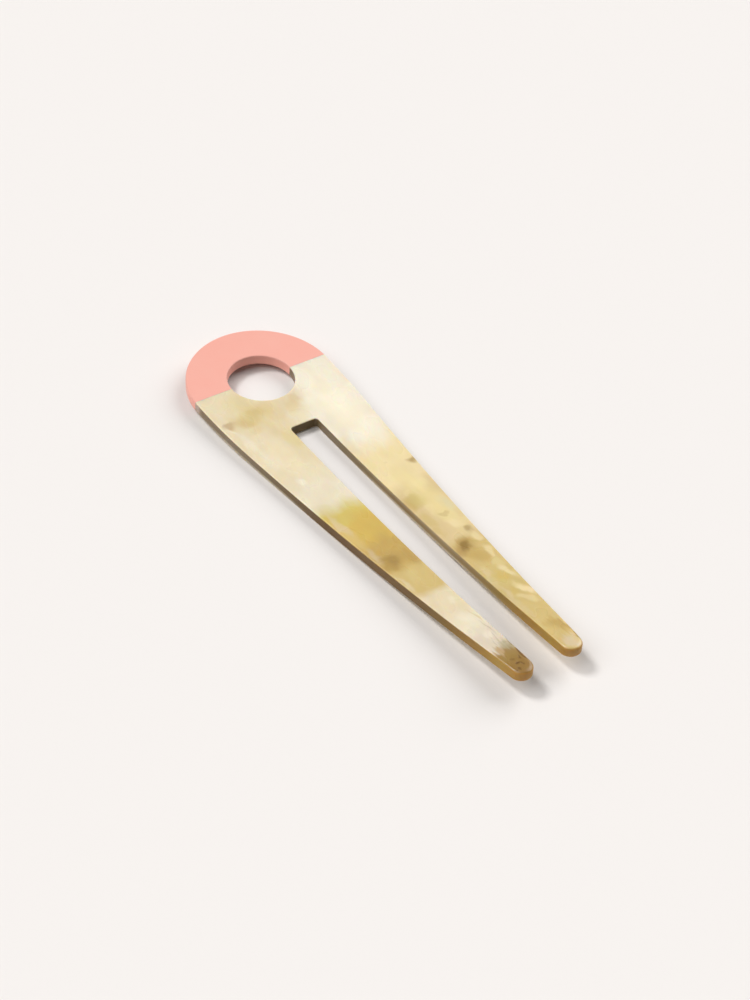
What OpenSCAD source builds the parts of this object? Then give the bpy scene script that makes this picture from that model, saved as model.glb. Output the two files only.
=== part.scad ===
// Double hairpin: a two-prong hair fork cut from one bowed plate of horn, its head lacquered on all faces.
// Millimetres. +Y points to the head, +X across the fork and +Z up.
// The fork lies on the belly of its bow with the hollow face up. Its origin is below the middle of its length.

/* [Head] */
// Diameter of the round head
head_d = 35.1; // [30:0.1:42]
// Diameter of the hole through the head
hole_d = 15.6; // [8:0.1:20]
// Distance from the head's centre to the hole's centre, away from the prongs
hole_lead = 0.45; // [0:0.05:2]

/* [Prongs] */
// Distance from the hole's centre to the ends of the prongs
prong_reach = 108.5; // [85:0.25:130]
// Radius of the curve by which the head runs into the straight sides
shoulder_r = 210; // [120:5:350]
// Diameter of the round end of a prong
tip_d = 4.7; // [3:0.1:5]

/* [Slot] */
// Distance from the hole's centre to the square end of the slot
slot_start = 18; // [14:0.1:30]
// Width of the slot at its square end
slot_root_w = 7.1; // [5:0.1:9]
// Width of the slot between the ends of the prongs
slot_tips_w = 7.7; // [5:0.1:9]
// Radius in the two inner corners of the slot
slot_corner_r = 0.8; // [0.4:0.1:2]

/* [Plate] */
// Thickness of the plate
plate_t = 2.5; // [2:0.1:4]
// Radius of the bow, at the hollow upper face
bow_r = 690; // [450:5:1500]
// Distance from the hole's centre to the line that the fork balances on
balance_reach = 36.6; // [30:0.1:42]

/* [Lacquer] */
// Thickness of the lacquer, which lies flush with the bare horn
lacquer_t = 0.25; // [0.15:0.05:0.5]
// Distance from the hole's centre to the straight edge of the lacquer, toward the prongs
lacquer_drop = 0; // [-4:0.1:0.4]

/* [Hidden] */

// Facets of a round edge, and of the long curves of the sides and the bow
$fn = 120;
long_fn = 1440;

// A straight side lies this much inside the rounds that it joins, so that their outlines cross
inset = 0.01;

// A block that cuts or holds a shape reaches past it by this much
past = 5;

// Radii of the round stretches of the outline
head_r = head_d / 2;
hole_r = hole_d / 2;
tip_r = tip_d / 2;

// Places along the fork
fork_len = head_r - hole_lead + prong_reach;
tips_y = -fork_len / 2;
hole_y = tips_y + prong_reach;
head_y = hole_y - hole_lead;
slot_y = hole_y - slot_start;
belly_y = hole_y - balance_reach;
coat_y = hole_y - lacquer_drop;

// The slot widens toward the tips, each side turned by this angle
slot_flare = atan((slot_tips_w - slot_root_w) / 2 / (slot_y - tips_y));
function slot_half_w(y) = slot_root_w / 2 + (slot_y - y) * tan(slot_flare);

// The slot's side touches the round end of the right-hand prong
tip_centre = [slot_half_w(tips_y + tip_r) + (tip_r - inset) / cos(slot_flare), tips_y + tip_r];

// The straight side touches both the shoulder curve and the round end, and this is its taper
shoulder_centre = [head_r - shoulder_r, head_y];
side_run = tip_centre - shoulder_centre;
side_taper = atan2(-side_run.y, side_run.x) - acos((shoulder_r - tip_r) / norm(side_run));
side_normal = [cos(side_taper), -sin(side_taper)];
side_top = shoulder_centre + (shoulder_r - inset) * side_normal;
tip_outer = tip_centre + (tip_r - inset) * side_normal;

// The bow is a slab between two cylinders about one axis, high above the fork
axis_z = bow_r + plate_t;
hole_tilt = asin(balance_reach / bow_r);
hole_z = axis_z - bow_r * cos(hole_tilt);

// The flat blank is taller than the bowed plate, from below its belly to above its ends
blank_drop = 1;
blank_h = blank_drop + plate_t + fork_len * fork_len / bow_r / 2;

horn_colour = [0.93, 0.84, 0.64];
lacquer_colour = [0.98, 0.66, 0.61];

// The same point on the other side of the fork's middle
function flip(point) = [-point.x, point.y];

// From the head's widest line to just below the tops of the straight sides
module shoulders() {
    low_y = side_top.y - past;
    intersection() {
        translate([-head_r, low_y]) square([head_d, head_y - low_y]);
        translate(shoulder_centre) circle(r = shoulder_r, $fn = long_fn);
        translate(flip(shoulder_centre)) circle(r = shoulder_r, $fn = long_fn);
    }
}

// Both prongs as one wedge with two round ends, before the slot parts them
module prongs() {
    polygon([flip(side_top), flip(tip_outer), flip(tip_centre), tip_centre, tip_outer, side_top]);
    translate(tip_centre) circle(r = tip_r);
    translate(flip(tip_centre)) circle(r = tip_r);
}

// The slot, square at its end with small round corners
module slot() {
    corner_y = slot_y - slot_corner_r;
    corner = [slot_half_w(corner_y) - slot_corner_r + inset, corner_y];
    side_start = [slot_half_w(corner_y), corner_y];
    side_end = [slot_half_w(tips_y - past), tips_y - past];
    polygon([flip(side_start), flip(side_end), side_end, side_start]);
    translate(flip(corner)) square([2 * corner.x, slot_corner_r - inset]);
    translate(corner) circle(r = slot_corner_r);
    translate(flip(corner)) circle(r = slot_corner_r);
}

// The outline of the whole fork, seen from above
module fork_outline() {
    difference() {
        union() {
            translate([0, head_y]) circle(r = head_r);
            shoulders();
            prongs();
        }
        slot();
    }
}

// The bowed slab, thinner by skin on both faces
module bowed_slab(skin = 0) {
    translate([0, belly_y, axis_z]) rotate([0, 90, 0]) difference() {
        cylinder(r = bow_r + plate_t - skin, h = head_d + 2 * past, center = true, $fn = long_fn);
        cylinder(r = bow_r + skin, h = head_d + 4 * past, center = true, $fn = long_fn);
    }
}

// The drill for the head's hole, square to the bowed face
module hole_drill(r) {
    translate([0, hole_y, hole_z]) rotate([hole_tilt, 0, 0]) cylinder(r = r, h = 4 * plate_t, center = true);
}

// The fork with its lacquer, as one shape
module whole_fork() {
    difference() {
        intersection() {
            translate([0, 0, -blank_drop]) linear_extrude(height = blank_h) fork_outline();
            bowed_slab();
        }
        hole_drill(hole_r);
    }
}

// The horn of the head, under its lacquer
module head_core() {
    difference() {
        intersection() {
            translate([0, head_y, -blank_drop]) cylinder(r = head_r - lacquer_t, h = blank_h);
            bowed_slab(lacquer_t);
        }
        hole_drill(hole_r + lacquer_t);
    }
}

// The lacquer round the head, on both faces, the outer edge and the hole's wall
module coat() {
    difference() {
        intersection() {
            whole_fork();
            translate([-head_d, coat_y, -blank_drop]) cube([2 * head_d, head_d, blank_h]);
        }
        head_core();
    }
}

module lacquer_coat() {
    color(lacquer_colour) coat();
}

module horn_fork() {
    color(horn_colour) difference() {
        whole_fork();
        coat();
    }
}

horn_fork();
lacquer_coat();
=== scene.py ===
"""Double hairpin: a two-prong hair fork of pale horn, its head dipped in pink lacquer, lying on a pale floor.

The fork is drawn flat, cut from plate, rounded along its edges and bowed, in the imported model's own frame.
"""

import math

import bpy
from mathutils import Matrix, Vector


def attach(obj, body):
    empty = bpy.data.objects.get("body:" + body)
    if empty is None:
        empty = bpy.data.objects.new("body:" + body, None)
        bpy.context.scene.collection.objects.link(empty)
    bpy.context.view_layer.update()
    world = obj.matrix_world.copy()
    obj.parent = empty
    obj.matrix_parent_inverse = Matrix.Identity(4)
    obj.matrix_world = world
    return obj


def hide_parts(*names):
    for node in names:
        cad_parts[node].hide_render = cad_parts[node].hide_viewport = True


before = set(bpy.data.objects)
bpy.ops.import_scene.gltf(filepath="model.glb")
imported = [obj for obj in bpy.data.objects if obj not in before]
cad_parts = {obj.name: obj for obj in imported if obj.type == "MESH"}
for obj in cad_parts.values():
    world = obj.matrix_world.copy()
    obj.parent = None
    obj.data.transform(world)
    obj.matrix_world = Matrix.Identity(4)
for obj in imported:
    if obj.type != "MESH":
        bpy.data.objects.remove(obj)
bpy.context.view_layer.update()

MM = 0.001

# The fork's own sizes, in millimetres
HEAD_R = 17.55
HOLE_R = 7.8
HOLE_LEAD = 0.45
PRONG_REACH = 108.5
SHOULDER_R = 210
TIP_R = 2.35
SLOT_START = 18
SLOT_ROOT_W = 7.1
SLOT_TIPS_W = 7.7
SLOT_CORNER_R = 0.8
PLATE_T = 2.5
BOW_R = 690
BALANCE_REACH = 36.6
LACQUER_T = 0.25
LACQUER_ROOM = 0.02

TIPS_Y = -(HEAD_R - HOLE_LEAD + PRONG_REACH) / 2
HOLE_Y = TIPS_Y + PRONG_REACH
HEAD_Y = HOLE_Y - HOLE_LEAD
SLOT_Y = HOLE_Y - SLOT_START
BELLY_Y = HOLE_Y - BALANCE_REACH
COAT_Y = HOLE_Y

# Straight pieces in each arc of half of the outline
HEAD_STEPS = 44
SIDE_STEPS = 10
TIP_STEPS = 26
CORNER_STEPS = 6
HOLE_STEPS = 60

# The edges are rounded evenly all round
ROUND_EDGE = 0.32
ROUND_STEPS = 4

# The upper faces of the prongs' ends are rubbed down toward their rims: how deep, how far in from the rim
# in how many rings, how far up the prong it is full, and where it has faded out
WORN_DEPTH = 0.32
WORN_WIDTH = 1.1
WORN_RINGS = 4
WORN_FULL = 1.5
WORN_REACH = 7

# Where rows of cuts run across the fork, so that it can be bowed: on the prongs, at distances from
# their ends, and on the head, at distances from the edge of the lacquer
PRONG_ROWS = (2.6, 5.1, 7.6, *range(14, 90, 4))
HEAD_ROWS = (-14.6, -10.6, -4.1, 0, 3.725, 9.925)

# Points this close together are one point, and heights or places along the fork this close are the same
# one, in metres
SAME_POINT = 1e-7
SAME_PLACE = 1e-6

# A face is a wall if the upward part of its normal is under the first, and level if it is over the second
WALL_RISE = 0.5
LEVEL_RISE = 0.999

# Faces that meet at a wider angle than this stay sharp, and level faces weigh this much in the shading
SHARP_ANGLE = 40
LEVEL_WEIGHT = 80


def srgb(red, green, blue):
    """A colour as it is seen, 0 to 255, as the light that a shader works in."""
    seen = [c / 255 for c in (red, green, blue)]
    return [c / 12.92 if c <= 0.04045 else ((c + 0.055) / 1.055) ** 2.4 for c in seen]


# The light on a level face. At 1.0, a pure white one would just be seen as white.
LIT = 1.16


def paint(red, green, blue):
    """The surface colour that looks like this one on a level face in the scene's light."""
    return [min(c / LIT, 1.0) for c in srgb(red, green, blue)] + [1.0]


# The fork's outline


def slot_half_w(y):
    return (SLOT_ROOT_W + (SLOT_TIPS_W - SLOT_ROOT_W) * (SLOT_Y - y) / (SLOT_Y - TIPS_Y)) / 2


def arc(centre, radius, start, end, steps):
    """Points on an arc from one angle to another, in degrees."""
    turn = [math.radians(start + (end - start) * i / steps) for i in range(steps + 1)]
    return [(centre[0] + radius * math.cos(a), centre[1] + radius * math.sin(a)) for a in turn]


# The round end of the right-hand prong, and how far its outer and inner sides turn from straight along
TIP = Vector((slot_half_w(TIPS_Y + TIP_R) + TIP_R, TIPS_Y + TIP_R))
SHOULDER = Vector((HEAD_R - SHOULDER_R, HEAD_Y))
SIDE_RUN = TIP - SHOULDER
TAPER = math.atan2(-SIDE_RUN.y, SIDE_RUN.x) - math.acos((SHOULDER_R - TIP_R) / SIDE_RUN.length)
FLARE = math.atan((SLOT_TIPS_W - SLOT_ROOT_W) / 2 / (SLOT_Y - TIPS_Y))


def half_outline():
    """The right-hand half of the fork, clockwise from the top of the head."""
    taper, flare = math.degrees(TAPER), math.degrees(FLARE)
    coat = math.degrees(math.asin((COAT_Y - HEAD_Y) / HEAD_R))
    corner_y = SLOT_Y - SLOT_CORNER_R
    corner = (slot_half_w(corner_y) - SLOT_CORNER_R, corner_y)
    points = arc((0, HEAD_Y), HEAD_R, 90, coat, HEAD_STEPS)
    points += arc((0, HEAD_Y), HEAD_R, coat, 0, 1)[1:]
    points += arc(SHOULDER, SHOULDER_R, 0, -taper, SIDE_STEPS)[1:]
    points += arc(TIP, TIP_R, -taper, -180 + flare, TIP_STEPS)
    points += arc(corner, SLOT_CORNER_R, 0, 90, CORNER_STEPS)
    points += [(0, SLOT_Y)]
    points += arc((0, HOLE_Y), HOLE_R, -90, 90, HOLE_STEPS)
    return points


# Small tools for the bench


def only(obj):
    """Makes one object the chosen and active one."""
    bpy.ops.object.select_all(action="DESELECT")
    obj.select_set(True)
    bpy.context.view_layer.objects.active = obj


def edit(kind):
    bpy.ops.object.mode_set(mode="EDIT")
    bpy.ops.mesh.select_mode(type=kind)


def leave():
    bpy.ops.object.mode_set(mode="OBJECT")


def choose_faces(obj, test):
    """Selects the faces of a mesh for which the test holds, and nothing else. Runs in object mode."""
    mesh = obj.data
    for group in (mesh.vertices, mesh.edges, mesh.polygons):
        group.foreach_set("select", [False] * len(group))
    for face in mesh.polygons:
        if test(face):
            face.select = True


def cut_rows(obj, places):
    """Cuts straight across a mesh at each of these places along the fork."""
    only(obj)
    edit("FACE")
    for place in places:
        bpy.ops.mesh.select_all(action="SELECT")
        bpy.ops.mesh.bisect(plane_co=(0, place * MM, 0), plane_no=(0, 1, 0), threshold=SAME_PLACE)
    leave()


def face_outward(obj):
    """Turns all the faces of a mesh outward."""
    only(obj)
    edit("FACE")
    bpy.ops.mesh.select_all(action="SELECT")
    bpy.ops.mesh.normals_make_consistent(inside=False)
    leave()


def apply(obj, name, kind, **settings):
    """Changes a mesh by a modifier with these settings."""
    only(obj)
    change = obj.modifiers.new(name, kind)
    for key, value in settings.items():
        setattr(change, key, value)
    bpy.ops.object.modifier_apply(modifier=name)


# The plate


def flat_blank():
    """The fork's flat outline as one sheet: half of it drawn as a closed curve, filled, and mirrored."""
    drawn = bpy.data.curves.new("fork_outline", "CURVE")
    drawn.dimensions = "2D"
    drawn.fill_mode = "NONE"
    line = drawn.splines.new("POLY")
    points = half_outline()
    line.points.add(len(points) - 1)
    for spot, (x, y) in zip(line.points, points):
        spot.co = (x * MM, y * MM, 0, 1)
    line.use_cyclic_u = True
    blank = bpy.data.objects.new("horn", drawn)
    bpy.context.collection.objects.link(blank)
    only(blank)
    bpy.ops.object.convert(target="MESH")
    blank = bpy.context.object
    edit("EDGE")
    bpy.ops.mesh.select_all(action="SELECT")
    bpy.ops.mesh.remove_doubles(threshold=SAME_POINT)
    bpy.ops.mesh.edge_face_add()
    leave()
    apply(blank, "other_half", "MIRROR", use_axis=(True, False, False), merge_threshold=SAME_POINT)
    return blank


def round_edges(plate):
    """Rounds the edges between the plate's level faces and its walls."""
    mesh = plate.data
    walls = {key for face in mesh.polygons if abs(face.normal.z) < WALL_RISE for key in face.edge_keys}
    weights = mesh.attributes.new("bevel_weight_edge", "FLOAT", "EDGE")
    for edge in mesh.edges:
        a, b = (mesh.vertices[i].co for i in edge.vertices)
        if edge.key in walls and abs(a.z - b.z) < SAME_PLACE:
            weights.data[edge.index].value = 1
    apply(
        plate, "rounded_edges", "BEVEL", limit_method="WEIGHT", width=ROUND_EDGE * MM,
        segments=ROUND_STEPS, profile=0.5, use_clamp_overlap=False,
    )


def ring_ends(plate):
    """Draws rings inside the rims of the prongs' ends, on the upper face."""
    end = TIPS_Y + WORN_REACH
    choose_faces(plate, lambda face: face.normal.z > LEVEL_RISE and face.center.y / MM < end)
    only(plate)
    edit("FACE")
    for ring in range(WORN_RINGS):
        bpy.ops.mesh.inset(thickness=(WORN_WIDTH - ROUND_EDGE) / WORN_RINGS * MM, use_even_offset=True)
    leave()


def cut_plate():
    """The flat fork with its thickness and its rounded edges, cut into rows that can be bowed."""
    plate = flat_blank()
    only(plate)
    edit("FACE")
    bpy.ops.mesh.select_all(action="SELECT")
    bpy.ops.mesh.extrude_region_move(TRANSFORM_OT_translate={"value": (0, 0, PLATE_T * MM)})
    leave()
    face_outward(plate)
    round_edges(plate)
    cut_rows(plate, [TIPS_Y + WORN_REACH])
    ring_ends(plate)
    cut_rows(plate, [TIPS_Y + place for place in PRONG_ROWS] + [COAT_Y + place for place in HEAD_ROWS])
    return plate


def from_rim(x, y):
    """How far in from its rim a point in the end of a prong lies."""
    x, y = abs(x) - TIP.x, y - TIP.y
    outer = x * math.cos(TAPER) - y * math.sin(TAPER)
    inner = -x * math.cos(FLARE) - y * math.sin(FLARE)
    return TIP_R - max(outer, inner, math.hypot(x, y) if y < 0 else 0)


def wear_tips(plate):
    """Rubs the flat plate's upper face down toward the rims of the prongs' ends."""
    for point in plate.data.vertices:
        x, y, z = point.co / MM
        if y < TIPS_Y + WORN_REACH and z > PLATE_T / 2:
            fade = min((TIPS_Y + WORN_REACH - y) / (WORN_REACH - WORN_FULL), 1)
            rim = max(1 - from_rim(x, y) / WORN_WIDTH, 0)
            point.co.z -= WORN_DEPTH * rim**2 * fade**3 * MM
    plate.data.update()


def top_height(y):
    return BOW_R + PLATE_T - math.sqrt(BOW_R**2 - (y - BELLY_Y) ** 2)


def under_height(y):
    return BOW_R + PLATE_T - math.sqrt((BOW_R + PLATE_T) ** 2 - (y - BELLY_Y) ** 2)


def bow(plate):
    """Bows the flat plate about its belly, hollow side up, each point by its place along the fork."""
    for point in plate.data.vertices:
        y, rise = point.co.y / MM, point.co.z / MM / PLATE_T
        under = under_height(y)
        point.co.z = (under + rise * (top_height(y) - under)) * MM
    plate.data.update()


def lay_lacquer(plate):
    """A closed skin over the head's half of the plate, on all its faces."""
    coat = plate.copy()
    coat.data = plate.data.copy()
    coat.name = coat.data.name = "lacquer"
    bpy.context.collection.objects.link(coat)
    choose_faces(coat, lambda face: face.center.y < COAT_Y * MM)
    only(coat)
    edit("FACE")
    bpy.ops.mesh.delete(type="FACE")
    leave()
    apply(
        coat, "film", "SOLIDIFY", thickness=LACQUER_T * MM, offset=-1,
        use_even_offset=True, use_quality_normals=True,
    )
    return coat


def make_room(plate):
    """Sinks the head's half of the horn under the lacquer, with a square step at its edge."""
    choose_faces(plate, lambda face: face.center.y > COAT_Y * MM)
    only(plate)
    edit("FACE")
    bpy.ops.mesh.extrude_region_shrink_fatten(
        TRANSFORM_OT_shrink_fatten={"value": -(LACQUER_T + LACQUER_ROOM) * MM, "use_even_offset": True}
    )
    leave()


def smooth_faces(obj):
    """Shades the rounded edges as curves, and keeps the level faces flat."""
    face_outward(obj)
    bpy.ops.object.shade_smooth_by_angle(angle=math.radians(SHARP_ANGLE))
    apply(obj, "flat_tops", "WEIGHTED_NORMAL", keep_sharp=True, weight=LEVEL_WEIGHT)


def mark_edges(obj):
    """Keeps how far each point's face leans from level, 0 to 1, and how deep in the plate it lies, 0 to 1."""
    lean = obj.data.attributes.new("lean", "FLOAT", "POINT")
    depth = obj.data.attributes.new("depth", "FLOAT", "POINT")
    for point in obj.data.vertices:
        lean.data[point.index].value = 1 - abs(point.normal.z)
        depth.data[point.index].value = (top_height(point.co.y / MM) - point.co.z / MM) / PLATE_T


horn = cut_plate()
wear_tips(horn)
bow(horn)
lacquer = lay_lacquer(horn)
make_room(horn)
for piece in (horn, lacquer):
    smooth_faces(piece)
    mark_edges(piece)


# Small tools for the finishes


def add(tree, kind, into=None, **settings):
    """Adds a shader node. A value in into is a socket to link or a number to set."""
    made = tree.nodes.new(kind)
    for key, value in settings.items():
        setattr(made, key, value)
    for key, value in (into or {}).items():
        if isinstance(value, bpy.types.NodeSocket):
            tree.links.new(value, made.inputs[key])
        else:
            made.inputs[key].default_value = value
    return made


def lay(tree, amount, under, over, kind="MIX"):
    """Lays one colour over another, by an amount from 0 to 1."""
    mixed = add(tree, "ShaderNodeMix", {0: amount, 6: under, 7: over}, data_type="RGBA", blend_type=kind)
    return mixed.outputs[2]


def lay_numbers(tree, amount, under, over):
    """Lays one number over another, by an amount from 0 to 1."""
    return add(tree, "ShaderNodeMix", {0: amount, 2: under, 3: over}, data_type="FLOAT").outputs[0]


def ramp(tree, value, low, high, to_low=0.0, to_high=1.0):
    """Eases a value from one span to another, and holds it past both ends."""
    mapped = add(
        tree, "ShaderNodeMapRange",
        {"Value": value, "From Min": low, "From Max": high, "To Min": to_low, "To Max": to_high},
        interpolation_type="SMOOTHSTEP",
    )
    return mapped.outputs[0]


def sums(tree, kind, a, b):
    return add(tree, "ShaderNodeMath", {0: a, 1: b}, operation=kind).outputs[0]


def vectors(tree, kind, a, b):
    return add(tree, "ShaderNodeVectorMath", {0: a, 1: b}, operation=kind).outputs[0]


def along_fork(tree, place):
    return add(tree, "ShaderNodeSeparateXYZ", {0: place}).outputs["Y"]


def noise(tree, place, scale, detail, rough=0.55, stretch=(1, 1, 1)):
    """Noise read at a place in millimetres, with lumps of about 1 / scale."""
    laid = vectors(tree, "MULTIPLY", place, stretch)
    return add(
        tree, "ShaderNodeTexNoise", {"Vector": laid, "Scale": scale, "Detail": detail, "Roughness": rough}
    )


def wander(tree, place, reach, scale, rough=0.55, stretch=(1, 1, 1)):
    """How far noise pushes a place, by up to about half of reach either way."""
    lumps = noise(tree, place, scale, 2, rough, stretch).outputs["Color"]
    return vectors(tree, "MULTIPLY", vectors(tree, "SUBTRACT", lumps, (0.5, 0.5, 0.5)), reach)


def in_millimetres(tree):
    spot = add(tree, "ShaderNodeTexCoord").outputs["Object"]
    return vectors(tree, "MULTIPLY", spot, (1 / MM, 1 / MM, 1 / MM))


def kept(tree, name):
    return add(tree, "ShaderNodeAttribute", attribute_name=name).outputs["Fac"]


def new_finish(name):
    finish = bpy.data.materials.new(name)
    finish.use_nodes = True
    tree = finish.node_tree
    tree.nodes.clear()
    shader = add(tree, "ShaderNodeBsdfPrincipled")
    add(tree, "ShaderNodeOutputMaterial", {"Surface": shader.outputs[0]})
    return finish, tree, shader


def give_relief(tree, shader, height, strength, distance):
    bump = add(tree, "ShaderNodeBump", {"Height": height, "Strength": strength, "Distance": distance})
    tree.links.new(bump.outputs[0], shader.inputs["Normal"])


# The horn

# Its tones, from the palest to the darkest
WHITE = paint(262, 253, 229)
IVORY = paint(254, 245, 223)
SHEEN = paint(257, 242, 176)
BUTTER = paint(254, 238, 200)
PALE = paint(246, 235, 208)
STRAW = paint(250, 231, 181)
CREAM = paint(244, 229, 194)
MILK = paint(237, 226, 184)
SHELL = paint(240, 224, 190)
HAZE = paint(234, 221, 199)
LIME = paint(234, 216, 154)
SAND = paint(234, 211, 160)
YELLOW = paint(226, 205, 118)
OLIVE = paint(221, 199, 132)
WHEAT = paint(223, 198, 133)
DUN = paint(220, 195, 140)
GOLD = paint(224, 193, 104)
AMBER = paint(210, 178, 104)
FAWN = paint(206, 176, 134)
MOSS = paint(182, 170, 132)
TAN = paint(194, 162, 98)
BROWN = paint(160, 128, 68)
RESIN = paint(162, 127, 66)
BARK = paint(118, 82, 34)

# How the tone runs along each prong, from the palm to the tip
NEAR_RUN = [
    (30, CREAM), (16, CREAM), (7, PALE), (2.8, PALE), (0.6, MILK), (-1.9, YELLOW), (-6, GOLD), (-11, GOLD),
    (-15, AMBER), (-22, AMBER), (-24.5, WHEAT), (-31.4, WHEAT), (-33.8, SHELL), (-40, SHELL), (-43, PALE),
    (-46, PALE), (-48.5, HAZE), (-53.2, HAZE), (-55.6, paint(173, 141, 86)), (-57.4, paint(169, 139, 78)),
    (-60, RESIN),
]
FAR_RUN = [
    (30, IVORY), (18, IVORY), (10, STRAW), (0, STRAW), (-4, SAND), (-14, SAND), (-21, SAND), (-24, WHEAT),
    (-32, WHEAT), (-38, OLIVE), (-50, WHEAT), (-59, WHEAT),
]

# Where across the fork the near prong's run has faded out and the far prong's is full
BETWEEN_RUNS = (-2.5, 3.5)

# How the tone of the walls runs along the fork, from the head to the tips: olive first, then clear amber
WALL_RUN = [
    (46, paint(140, 116, 86)), (30, paint(144, 125, 100)), (18, paint(135, 115, 82)),
    (8, paint(136, 112, 70)), (-10, paint(149, 119, 68)), (-20, paint(160, 134, 86)),
    (-30, paint(155, 127, 74)), (-40, paint(160, 129, 50)), (-50, paint(178, 136, 50)),
    (-57, paint(185, 149, 56)), (-62, paint(186, 140, 58)),
]

# Stretches of wall with a tone of their own: place across and along, half width and half length, tone,
# strength and how it is laid. The near prong's walls are darker, partly in the horn's own browner tone and
# partly as painted shade. The head's edge beside the lacquer is paler, and the end of the slot is darkest of
# all, with painted shade for the narrow slot around it.
WALL_CLOUDS = [
    # partly the horn's own browner tone, partly painted shade on the near prong's walls
    (-11, -14, 11, 48, paint(208, 186, 150), 0.9, "MULTIPLY"),
    (-18, 45.6, 4, 3, paint(214, 190, 170), 0.8, "MIX"),
    # painted shade: the end wall deep in the narrow slot, darkened because little light reaches it
    (0, SLOT_Y, 6, 3, paint(108, 84, 22), 0.9, "MIX"),
]

# Stretches where the walls are paler toward an edge: place across and along, half width and half length,
# the depths in the plate where the pale tone has faded out and where it is full, strength
PALE_EDGE_TONE = paint(206, 192, 164)
PALE_EDGES = [
    (-16, 24, 5, 26, 0.6, 0.84, 1.0),
    (4, -14, 2, 36, 0.6, 0.84, 1.0),
    (4, -10, 2, 36, 0.42, 0.16, 0.35),
]

# The walls' tone begins at the first lean and is full at the second. It reaches further over the rounded
# edge at the prongs' ends, and the one passes into the other between two places along the fork.
WALL_LEAN = (0.15, 0.9)
END_WALL_LEAN = (0.08, 0.5)
TOWARD_ENDS = (-40, -52)

# It covers the rim of the far prong's end from higher up: place across and along, half width and half
# length, and the depths in the plate where it begins and is full
FAR_RIM = (6.6, -63, 6, 5)
FAR_RIM_DEPTH = (0.02, 0.16)
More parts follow.
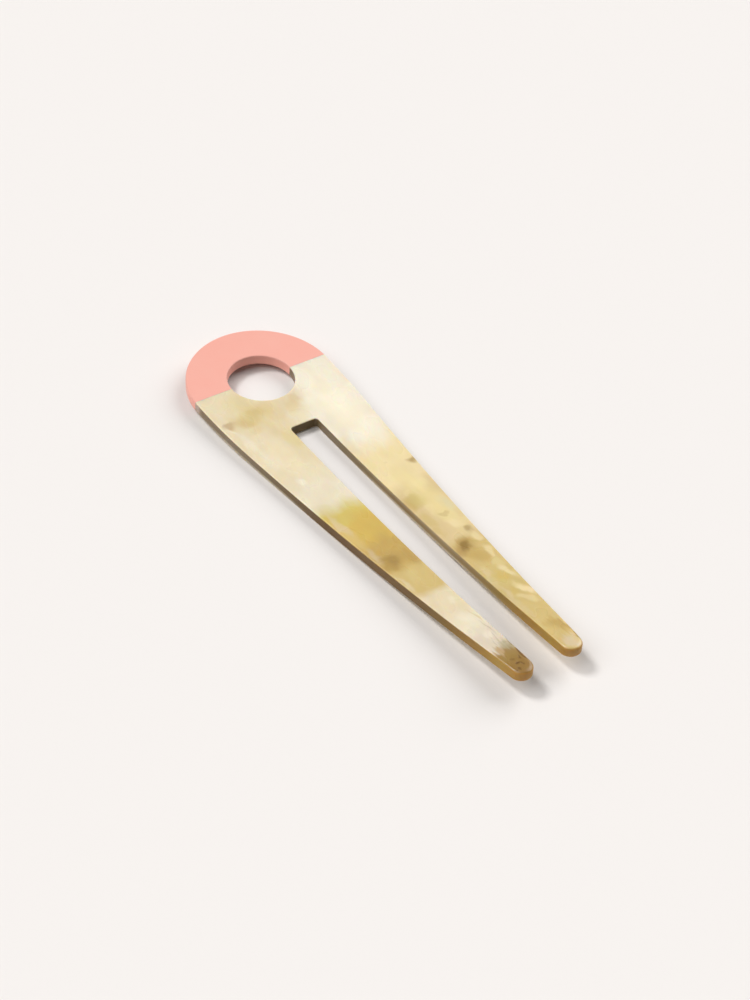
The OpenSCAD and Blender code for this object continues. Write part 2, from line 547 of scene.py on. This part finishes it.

# Clouds on the horn: place across and along, half width and half length, turn in degrees, tone, strength.
# Each one is laid over those before it. Most are the horn's own tones; a few are painted light, marked
# where they stand.
CLOUDS = [
    # the palm, between the hole and the slot
    (0, 34, 6, 9, 0, CREAM, 0.7),
    (4.6, 36.8, 2.8, 3.6, 0, SHELL, 0.6),
    (2.6, 36.0, 2.0, 2.0, 0, DUN, 0.35),
    (-9, 41, 6, 4, 0, LIME, 0.35),
    (-6.5, 36.2, 6.5, 4.4, 10, SAND, 0.8),
    (-10.5, 35.5, 4.6, 3.4, -10, SAND, 0.7),
    (-7.4, 35.8, 3.4, 2.8, 0, DUN, 0.7),
    (-11.2, 34.6, 3.0, 2.6, 0, DUN, 0.6),
    (-11.3, 34.4, 1.8, 1.4, 0, FAWN, 0.35),
    (-3.6, 33.2, 2.6, 4.0, 30, SAND, 0.5),
    (-6, 30, 4, 5, 0, SAND, 0.4),
    (-11, 31, 2.4, 2.4, 0, SAND, 0.4),
    (0.8, 34.6, 3.0, 4.0, -35, SAND, 0.6),
    (-4.5, 24.5, 3, 5, 0, LIME, 0.55),
    (-14.2, 28, 1.3, 6, 3, IVORY, 0.45),
    (-15.0, 34.9, 2.4, 1.4, 0, FAWN, 0.7),
    (-9, 35.5, 7, 6, 0, LIME, 0.4),
    # painted highlight: a pale glint line along the nick in the palm
    (-15.3, 33.0, 0.6, 2.2, 35, IVORY, 0.6),
    (-12.5, 20.5, 3, 5, 0, IVORY, 0.4),
    (-11.3, 11.2, 1.2, 2.2, 25, IVORY, 0.8),
    (-9.8, 20, 4, 9, 5, BUTTER, 0.45),
    (10.2, 28.5, 6, 18, 4, WHITE, 0.95),
    # the far prong
    (16, 12, 2.2, 12, 4, LIME, 0.35),
    (4.8, 16, 1.8, 6, 0, SHELL, 0.5),
    (13.5, 5.0, 1.6, 1.7, 30, TAN, 0.6),
    (13.3, 5.2, 1.0, 1.1, 30, BROWN, 0.35),
    (10.3, -2, 2.4, 4, 0, STRAW, 0.7),
    (6.6, -7.4, 3.4, 3.4, 20, OLIVE, 1.0),
    (4.4, -7.6, 1.4, 3.4, 0, AMBER, 0.45),
    (6.4, -4.5, 1.4, 1.5, 0, STRAW, 0.4),
    (12.1, -5, 1.2, 4, 5, SAND, 0.4),
    (9.8, -9, 4.4, 17, 5, SHEEN, 0.45),
    (11.6, -11.8, 1.9, 3.8, 5, MILK, 0.9),
    (7.4, -11.3, 1.8, 2.0, 0, STRAW, 0.55),
    (4.6, -14, 1.8, 3.6, 0, WHEAT, 0.65),
    (12, -15.3, 0.9, 1.6, 20, SAND, 0.5),
    (9.2, -13.5, 0.7, 1.7, 70, TAN, 0.35),
    (9.2, -17.2, 2.0, 3.0, 35, STRAW, 0.9),
    (4.8, -18, 1.4, 2.2, 0, WHEAT, 0.6),
    (10.5, -20.4, 1.3, 1.5, 0, BROWN, 0.5),
    (6.6, -24.6, 3.6, 3.2, 20, TAN, 0.85),
    (5.0, -26.2, 1.8, 2.8, 0, TAN, 0.6),
    (7.4, -28.6, 3.0, 3.6, 0, AMBER, 0.7),
    (6.7, -24.9, 1.7, 1.6, 0, BROWN, 0.9),
    (10.4, -23.2, 1.2, 2.2, 0, STRAW, 0.7),
    (10.0, -28.6, 1.1, 2.6, 5, STRAW, 0.6),
    (9.5, -32.4, 1.5, 2.8, 0, LIME, 0.7),
    (5.3, -34, 1.3, 2.4, 0, SAND, 0.6),
    (7.3, -37.2, 2.2, 2.6, 10, GOLD, 0.5),
    (9.4, -36.5, 1.0, 3.4, 5, STRAW, 0.7),
    (8.7, -42.4, 1.5, 3.6, 20, STRAW, 1.0),
    (6.6, -42.4, 1.0, 3.0, 0, GOLD, 0.3),
    (5.0, -42, 1.0, 3.5, 0, SAND, 0.5),
    (4.6, -42, 1.0, 16, 0, HAZE, 0.18),
    (7.6, -45.2, 1.2, 3.0, 50, STRAW, 0.5),
    (5.8, -54, 1.2, 3.2, 0, AMBER, 0.4),
    (7.5, -54.8, 1.2, 4.4, 3, AMBER, 0.7),
    (8.3, -55.4, 0.5, 3.8, 4, TAN, 0.7),
    (7.2, -54.4, 1.6, 3.2, 0, TAN, 0.35),
    (6.4, -60, 2.6, 2.8, 0, HAZE, 0.55),
    # painted shade: a dark line along the rounded outer edge of the far prong's end
    (8.8, -59, 0.6, 2.8, 6, BROWN, 0.6),
    # the near prong
    (-9, 4.4, 4, 3.0, 0, PALE, 0.5),
    (-10.4, -3.9, 3.0, 3.2, 0, YELLOW, 0.85),
    (-5.6, -7, 2.4, 4.5, 0, GOLD, 0.5),
    (-4.8, -13, 1.1, 1.7, 0, GOLD, 0.6),
    (-12.4, -9, 1.8, 9, 5.6, SAND, 0.35),
    (-12.3, -4.5, 1.1, 7, 5.6, HAZE, 0.35),
    (-8.4, -20.2, 3.4, 3.2, 0, TAN, 0.75),
    (-9.0, -20.2, 2.1, 2.2, 0, BROWN, 0.45),
    (-10.6, -22.4, 1.7, 1.9, 0, BROWN, 0.3),
    (-11.1, -17.5, 1.1, 4, 5.6, HAZE, 0.35),
    (-5, -22, 2, 5, 0, TAN, 0.45),
    (-8.2, -26.8, 2.2, 2.8, 0, LIME, 0.4),
    (-10.9, -28.5, 0.8, 4, 5.6, SHELL, 0.5),
    (-4.6, -37, 1.4, 6, 0, MILK, 0.5),
    (-5.8, -36.8, 1.5, 1.8, 0, IVORY, 0.4),
    (-6.6, -42.5, 2.4, 2.8, 0, IVORY, 0.4),
    (-4.6, -47.5, 1.5, 2.8, 10, HAZE, 0.6),
    (-6.4, -49.4, 1.2, 1.8, 0, IVORY, 0.5),
    (-4.8, -53.6, 1.8, 2.8, 0, MOSS, 0.75),
    (-7.0, -54.8, 1.1, 1.8, 0, FAWN, 0.8),
    # painted shade: a dark line along the rounded slot-side edge of the near prong's end
    (-3.8, -57.0, 0.5, 6.0, 0, BARK, 0.8),
    (-8.2, -53.6, 0.9, 2.2, 5, HAZE, 0.7),
    (-4.5, -43.6, 0.25, 3.0, 2, OLIVE, 0.5),
    (-4.9, -47.4, 0.25, 3.6, 3, MOSS, 0.45),
    (-5.6, -50.6, 0.2, 2.6, 4, MOSS, 0.4),
    (-6.6, -52.0, 0.2, 2.2, 5, MOSS, 0.35),
]

# A cloud is full from this share of the way in from its rim, and reaches right through the plate
CLOUD_CORE = 0.7
CLOUD_HEIGHT = 1e4

# How far the edges of the tones wander. They are also drawn out into streaks along the fibres, which
# grow from the first length to the second between two places along the fork.
DRIFT = (3.2, 4.6, 0)
STREAK_WIDTH = 0.2
STREAK_LENGTH = (0.3, 3.4)
STREAKS_GROW = (-46, -53)

# Mottling, and faint fibres along the fork: tone, strength, and the noise where it begins and is full
MOTTLE_TONE = paint(240, 228, 200)
MOTTLE_STRENGTH = 0.2
MOTTLE_NOISE = (0.4, 0.7)
FIBRE_TONE = paint(238, 226, 200)
FIBRE_STRENGTH = 0.05
FIBRE_NOISE = (0.4, 0.8)

# Pits in the near prong's tip: place across and along, half width and half length, turn in degrees, strength
PITS = [
    (-5.1, -58.3, 0.4, 0.9, -15, 0.8), (-5.8, -60.1, 0.4, 0.8, 25, 0.8), (-6.5, -59.4, 0.7, 0.5, 0, 1.0),
    (-6.7, -58.1, 0.5, 0.6, 0, 0.5), (-7.2, -60.9, 0.5, 0.8, 0, 1.0), (-8.0, -61.2, 0.3, 0.4, 0, 0.8),
]
PIT_DARKNESS = 0.9
PIT_CURL = (1.2, 1.2, 0)

# Heights of the relief, as shares of its full depth in metres: pits, and long fine scratches
HORN_RELIEF = 0.0002
HORN_RELIEF_STRENGTH = 0.6
PIT_DEPTH = 0.3
SCRATCH_HEIGHT = 0.015
SCRATCH_NOISE = (0.4, 0.8)

# Roughness over the mottling, and how much rougher the cut walls are, from the first lean to the second
HORN_ROUGHNESS = (0.25, 0.33)
ROUGHNESS_NOISE = (0.3, 0.7)
WALL_ROUGHER = 0.25
ROUGHER_LEAN = (0.3, 0.9)

# Light sinks into the horn: its share, its reach in red, green and blue, and the depth in metres, which
# grows between two places along the fork toward the clear ends of the prongs
SUNK_SHARE = 0.6
SUNK_COLOURS = (1.0, 0.65, 0.3)
SUNK_DEPTH = (1.0 * MM, 2.2 * MM)
SUNK_GROWS = (-44, -60)
HORN_IOR = 1.54


def cloud(tree, place, x, y, half_w, half_l, turn=0):
    """1 in the middle of an oval on the horn, falling to 0 at its rim."""
    laid = add(
        tree, "ShaderNodeMapping",
        {
            "Vector": place, "Location": (x, y, 0), "Rotation": (0, 0, math.radians(turn)),
            "Scale": (half_w, half_l, CLOUD_HEIGHT),
        },
        vector_type="TEXTURE",
    ).outputs[0]
    ball = add(tree, "ShaderNodeTexGradient", {"Vector": laid}, gradient_type="SPHERICAL").outputs["Fac"]
    return ramp(tree, ball, 0.0, CLOUD_CORE)


def tone_run(tree, along, run):
    """The tone at each place along the fork."""
    tips, palm = run[-1][0], run[0][0]
    share = add(tree, "ShaderNodeMapRange", {"Value": along, "From Min": tips, "From Max": palm}).outputs[0]
    band = add(tree, "ShaderNodeValToRGB", {"Fac": share})
    marks = band.color_ramp.elements
    marks.remove(marks[1])
    for number, (y, tone) in enumerate(reversed(run)):
        mark = marks[0] if number == 0 else marks.new((y - tips) / (palm - tips))
        mark.position = (y - tips) / (palm - tips)
        mark.color = tone
    return band.outputs["Color"]


def drawn_out(tree, here):
    """The place on the horn whose tone shows here, moved by drift and by streaks along the fibres."""
    drift = wander(tree, here, DRIFT, scale=0.3, rough=0.5, stretch=(1, 0.7, 1))
    length = ramp(tree, along_fork(tree, here), *STREAKS_GROW, *STREAK_LENGTH)
    pull = add(tree, "ShaderNodeCombineXYZ", {"X": STREAK_WIDTH, "Y": length}).outputs[0]
    streaks = wander(tree, here, pull, scale=1.8, rough=0.5, stretch=(1, 0.1, 1))
    return vectors(tree, "ADD", vectors(tree, "ADD", here, drift), streaks)


def face_tone(tree, here, moved, along, mottle):
    """The tone of the horn's faces: the runs along the prongs, the clouds, the mottling and the fibres."""
    across = add(tree, "ShaderNodeSeparateXYZ", {0: moved}).outputs["X"]
    near, far = tone_run(tree, along, NEAR_RUN), tone_run(tree, along, FAR_RUN)
    colour = lay(tree, ramp(tree, across, *BETWEEN_RUNS), near, far)
    for x, y, half_w, half_l, turn, tone, strength in CLOUDS:
        amount = sums(tree, "MULTIPLY", cloud(tree, moved, x, y, half_w, half_l, turn), strength)
        colour = lay(tree, amount, colour, tone)
    mottling = ramp(tree, mottle, *MOTTLE_NOISE, to_high=MOTTLE_STRENGTH)
    colour = lay(tree, mottling, colour, MOTTLE_TONE, "MULTIPLY")
    fibres = noise(tree, here, scale=1.6, detail=4, rough=0.6, stretch=(1, 0.08, 1)).outputs[0]
    return lay(tree, ramp(tree, fibres, *FIBRE_NOISE, to_high=FIBRE_STRENGTH), colour, FIBRE_TONE, "MULTIPLY")


def wall_tone(tree, here, along, depth):
    """The tone of the walls, which are cut across the fibres."""
    wall = tone_run(tree, along, WALL_RUN)
    for x, y, half_w, half_l, tone, strength, kind in WALL_CLOUDS:
        amount = sums(tree, "MULTIPLY", cloud(tree, here, x, y, half_w, half_l), strength)
        wall = lay(tree, amount, wall, tone, kind)
    for x, y, half_w, half_l, faded, full, strength in PALE_EDGES:
        toward_edge = ramp(tree, depth, faded, full)
        pale = sums(tree, "MULTIPLY", cloud(tree, here, x, y, half_w, half_l), toward_edge)
        wall = lay(tree, sums(tree, "MULTIPLY", pale, strength), wall, PALE_EDGE_TONE)
    return wall


def wall_share(tree, here, lean, depth):
    """How much of the walls' tone shows at a place, 0 to 1."""
    at_ends = ramp(tree, along_fork(tree, here), *TOWARD_ENDS)
    cut = lay_numbers(tree, at_ends, ramp(tree, lean, *WALL_LEAN), ramp(tree, lean, *END_WALL_LEAN))
    far_rim = sums(tree, "MULTIPLY", cloud(tree, here, *FAR_RIM), ramp(tree, depth, *FAR_RIM_DEPTH))
    return sums(tree, "MAXIMUM", cut, far_rim)


def horn_finish():
    finish, tree, shader = new_finish("pale_horn")
    here = in_millimetres(tree)
    lean = kept(tree, "lean")
    depth = kept(tree, "depth")
    moved = drawn_out(tree, here)
    along = along_fork(tree, moved)
    mottle = noise(tree, here, scale=0.22, detail=1, rough=0.4, stretch=(1, 0.6, 1)).outputs[0]
    colour = lay(
        tree, wall_share(tree, here, lean, depth),
        face_tone(tree, here, moved, along, mottle), wall_tone(tree, here, along, depth),
    )

    scratches = noise(tree, here, scale=5.0, detail=2, rough=0.5, stretch=(1, 0.03, 1)).outputs[0]
    height = ramp(tree, scratches, *SCRATCH_NOISE, to_high=SCRATCH_HEIGHT)
    curled = vectors(tree, "ADD", here, wander(tree, here, PIT_CURL, scale=1.2))
    for x, y, half_w, half_l, turn, strength in PITS:
        pit = sums(tree, "MULTIPLY", cloud(tree, curled, x, y, half_w, half_l, turn), strength)
        colour = lay(tree, sums(tree, "MULTIPLY", pit, PIT_DARKNESS), colour, BARK)
        height = sums(tree, "SUBTRACT", height, sums(tree, "MULTIPLY", pit, PIT_DEPTH))
    tree.links.new(colour, shader.inputs["Base Color"])
    give_relief(tree, shader, height, HORN_RELIEF_STRENGTH, HORN_RELIEF)

    polish = ramp(tree, mottle, *ROUGHNESS_NOISE, *HORN_ROUGHNESS)
    rougher = ramp(tree, lean, *ROUGHER_LEAN, to_high=WALL_ROUGHER)
    tree.links.new(sums(tree, "ADD", polish, rougher), shader.inputs["Roughness"])
    tree.links.new(ramp(tree, along, *SUNK_GROWS, *SUNK_DEPTH), shader.inputs["Subsurface Scale"])
    shader.inputs["Subsurface Weight"].default_value = SUNK_SHARE
    shader.inputs["Subsurface Radius"].default_value = SUNK_COLOURS
    shader.inputs["IOR"].default_value = HORN_IOR
    return finish


# The lacquer

# Its tones on the faces, a lighter copy of the pink laid on the walls as painted light to brighten them, and
# the lean where that copy begins and is full
FACE_PINKS = (paint(255, 181, 164), paint(255, 184, 167))
PINK_NOISE = (0.3, 0.7)
LIT_WALL_PINK = paint(264, 186, 168)
PINK_WALL_LEAN = (0.4, 0.95)

# The lacquer turns dark brown toward the bottom of its walls: tone, strength, the depths in the plate and
# the leans where it begins and is full
DARK_LOW_RIM_TONE = paint(84, 46, 30)
DARK_LOW_RIM_STRENGTH = 0.95
DARK_LOW_RIM_DEPTH = (0.86, 0.95)
DARK_LOW_RIM_LEAN = (0.05, 0.4)

# Its fine grain: roughness, and relief in metres
GRAIN_NOISE = (0.3, 0.7)
LACQUER_ROUGHNESS = (0.42, 0.52)
LACQUER_RELIEF = 0.0001
LACQUER_RELIEF_STRENGTH = 0.15
LACQUER_IOR = 1.48


def lacquer_finish():
    finish, tree, shader = new_finish("pink_lacquer")
    here = in_millimetres(tree)
    lean = kept(tree, "lean")
    soft = noise(tree, here, scale=0.15, detail=3).outputs[0]
    colour = lay(tree, ramp(tree, soft, *PINK_NOISE), *FACE_PINKS)
    # painted light: the walls take the lighter copy of the pink
    colour = lay(tree, ramp(tree, lean, *PINK_WALL_LEAN), colour, LIT_WALL_PINK)
    # darker toward the bottom of the walls
    low = ramp(tree, kept(tree, "depth"), *DARK_LOW_RIM_DEPTH, to_high=DARK_LOW_RIM_STRENGTH)
    rim = sums(tree, "MULTIPLY", low, ramp(tree, lean, *DARK_LOW_RIM_LEAN))
    tree.links.new(lay(tree, rim, colour, DARK_LOW_RIM_TONE), shader.inputs["Base Color"])
    grain = noise(tree, here, scale=3.0, detail=3).outputs[0]
    tree.links.new(ramp(tree, grain, *GRAIN_NOISE, *LACQUER_ROUGHNESS), shader.inputs["Roughness"])
    give_relief(tree, shader, grain, LACQUER_RELIEF_STRENGTH, LACQUER_RELIEF)
    shader.inputs["IOR"].default_value = LACQUER_IOR
    return finish


horn.data.materials.append(horn_finish())
lacquer.data.materials.append(lacquer_finish())
for piece, node, slot in ((horn, "horn_fork", "horn"), (lacquer, "lacquer_coat", "lacquer")):
    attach(piece, "root")
    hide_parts(node)


# The floor

# The length of its side, in metres
FLOOR_SIDE = 6

PAPER_TONES = (paint(247.5, 243, 239.5), paint(248.5, 244, 240.5))
PAPER_ROUGHNESS = 0.9


def floor_finish():
    finish, tree, shader = new_finish("pale_paper")
    grain = noise(tree, in_millimetres(tree), scale=2.0, detail=3).outputs[0]
    tree.links.new(lay(tree, grain, *PAPER_TONES), shader.inputs["Base Color"])
    shader.inputs["Roughness"].default_value = PAPER_ROUGHNESS
    shader.inputs["Specular IOR Level"].default_value = 0.0
    return finish


bpy.ops.object.select_all(action="DESELECT")
bpy.ops.mesh.primitive_plane_add(size=FLOOR_SIDE, location=(0, 0, 0))
floor = bpy.context.object
floor.name = "floor"
floor.data.materials.append(floor_finish())


# The light

# The room is white, and the camera sees it as the same white as the floor
ROOM = (1.0, 1.0, 1.0, 1.0)
ROOM_AS_SEEN = srgb(248, 244, 240) + [1.0]

# How much of the light on a level face comes from the room, and from each of the lights:
# name, turn from +X toward +Y, height above the floor, spread, share
ROOM_SHARE = 0.11
LIGHTS = [
    ("right_window", 8, 36, 50, 0.32),
    ("left_window", 170, 50, 50, 0.26),
    ("left_lamp", 125, 56, 16, 0.31),
]


def studio():
    world = bpy.data.worlds.new("studio")
    world.use_nodes = True
    bpy.context.scene.world = world
    tree = world.node_tree
    tree.nodes.clear()
    seen = add(tree, "ShaderNodeLightPath").outputs["Is Camera Ray"]
    strength = lay_numbers(tree, seen, ROOM_SHARE * LIT, 1.0)
    back = add(
        tree, "ShaderNodeBackground", {"Color": lay(tree, seen, ROOM, ROOM_AS_SEEN), "Strength": strength}
    )
    add(tree, "ShaderNodeOutputWorld", {"Surface": back.outputs[0]})


def sun(name, turn, height, spread, share):
    """A far soft light, which gives this share of the light on a level face. Angles are in degrees."""
    turn, height = math.radians(turn), math.radians(height)
    outward = math.cos(height)
    toward = Vector((math.cos(turn) * outward, math.sin(turn) * outward, math.sin(height)))
    lamp = bpy.data.lights.new(name, "SUN")
    lamp.energy = share * LIT * math.pi / math.sin(height)
    lamp.angle = math.radians(spread)
    made = bpy.data.objects.new(name, lamp)
    made.rotation_mode = "QUATERNION"
    made.rotation_quaternion = toward.to_track_quat("Z", "Y")
    made.location = toward
    bpy.context.collection.objects.link(made)


studio()
for name, turn, height, spread, share in LIGHTS:
    sun(name, turn, height, spread, share)


# The picture's camera

# The size of the picture, the focal length and the place of the hole's centre in it, all in pixels
PICTURE = (750, 1000)
FOCAL = 1952
HOLE_IN_PICTURE = (261.07, 377.82)

# The distance from the camera to the hole's centre and the width of its sensor, both in millimetres,
# the least distance that it sees, in metres, and how it is turned
DISTANCE = 449.9
SENSOR = 36
NEAREST = 0.01
ELEVATION, AZIMUTH, ROLL = (math.radians(a) for a in (41.48, 36.84, -3.61))


def picture_camera():
    outward = math.cos(ELEVATION)
    ahead = Vector((math.sin(AZIMUTH) * outward, math.cos(AZIMUTH) * outward, -math.sin(ELEVATION)))
    right = Vector((math.cos(AZIMUTH), -math.sin(AZIMUTH), 0))
    down = ahead.cross(right)
    right, down = (
        math.cos(ROLL) * right + math.sin(ROLL) * down,
        -math.sin(ROLL) * right + math.cos(ROLL) * down,
    )
    across = (HOLE_IN_PICTURE[0] - PICTURE[0] / 2) / FOCAL * DISTANCE
    below = (HOLE_IN_PICTURE[1] - PICTURE[1] / 2) / FOCAL * DISTANCE
    hole = Vector((0, HOLE_Y, top_height(HOLE_Y)))
    place = (hole - across * right - below * down - DISTANCE * ahead) * MM
    lens = bpy.data.cameras.new("picture_camera")
    lens.sensor_width = SENSOR
    lens.lens = FOCAL / max(PICTURE) * SENSOR
    lens.clip_start = NEAREST
    made = bpy.data.objects.new("picture_camera", lens)
    turned = Matrix((right, -down, -ahead)).transposed().to_4x4()
    made.matrix_world = Matrix.Translation(place) @ turned
    bpy.context.collection.objects.link(made)
    bpy.context.scene.camera = made


picture_camera()
bpy.context.scene.view_settings.view_transform = "Standard"
